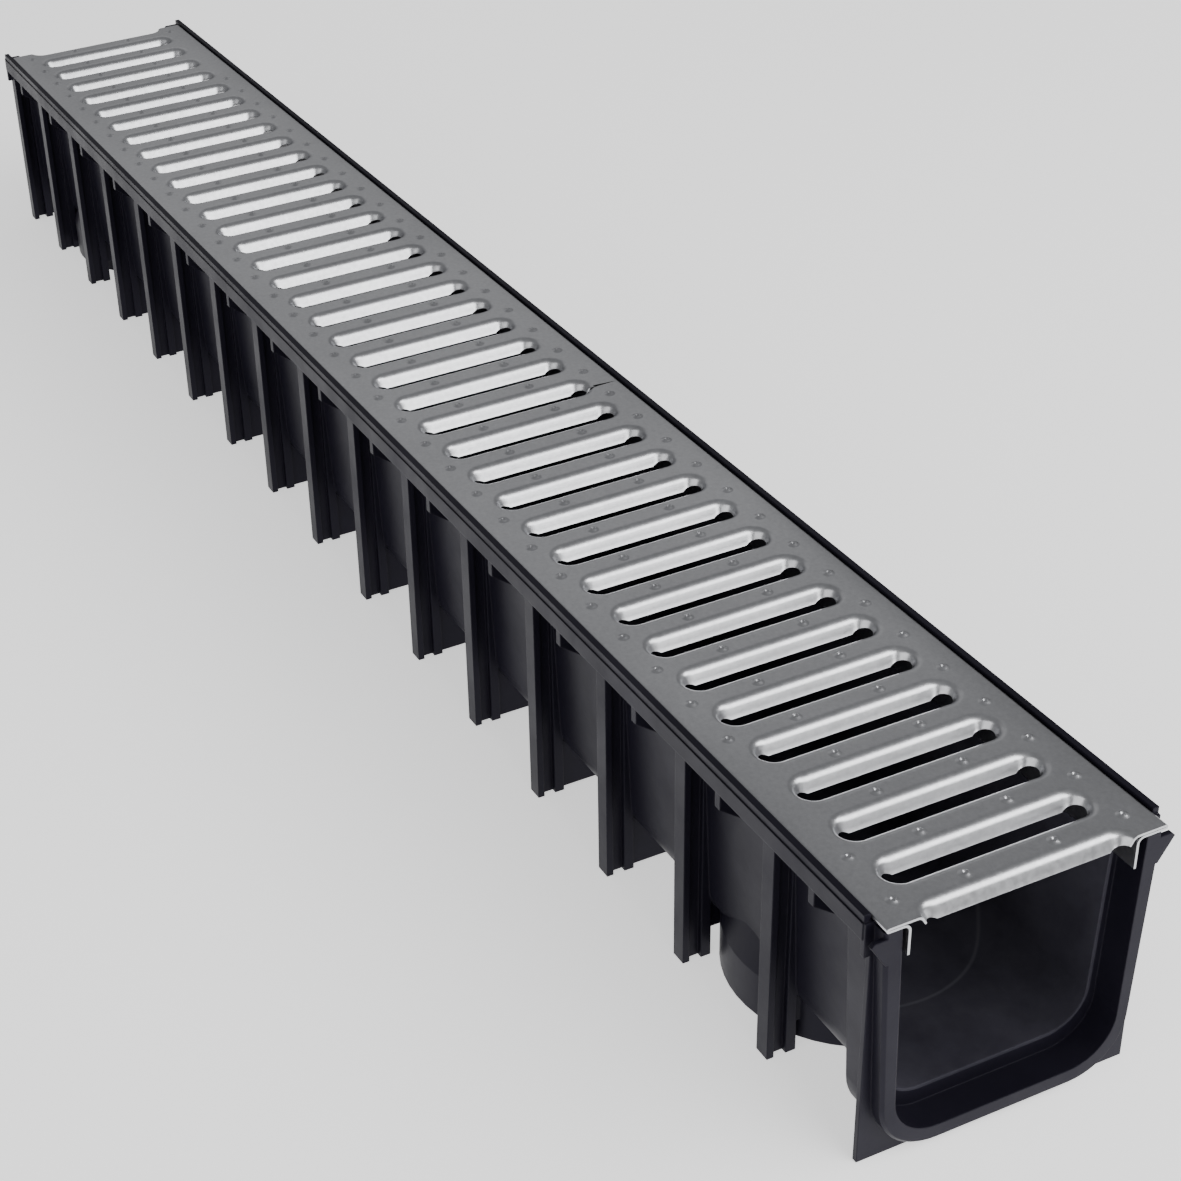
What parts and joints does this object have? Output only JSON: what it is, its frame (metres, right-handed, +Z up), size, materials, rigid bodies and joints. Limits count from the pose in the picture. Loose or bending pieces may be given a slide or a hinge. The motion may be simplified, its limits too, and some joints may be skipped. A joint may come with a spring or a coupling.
{
  "type": "channel drain",
  "caption": "Ribbed plastic drainage channel with a slotted galvanised steel grating resting in its rim, a socket end, a spigot end and closed bottom outlets.",
  "frame": {"origin": "on the ground plane under the middle of the whole channel, midway between its two ends", "axes": "+X along the channel towards the socket end, +Y across it, +Z up out of the grating"},
  "size_m": [1.0124, 0.1266, 0.1158],
  "materials": {
    "black_plastic": "satin",
    "galvanised_steel": "galvanised"
  },
  "bodies": {
    "root": {"channel_body": "black_plastic", "grating": "galvanised_steel"}
  },
  "joints": []
}
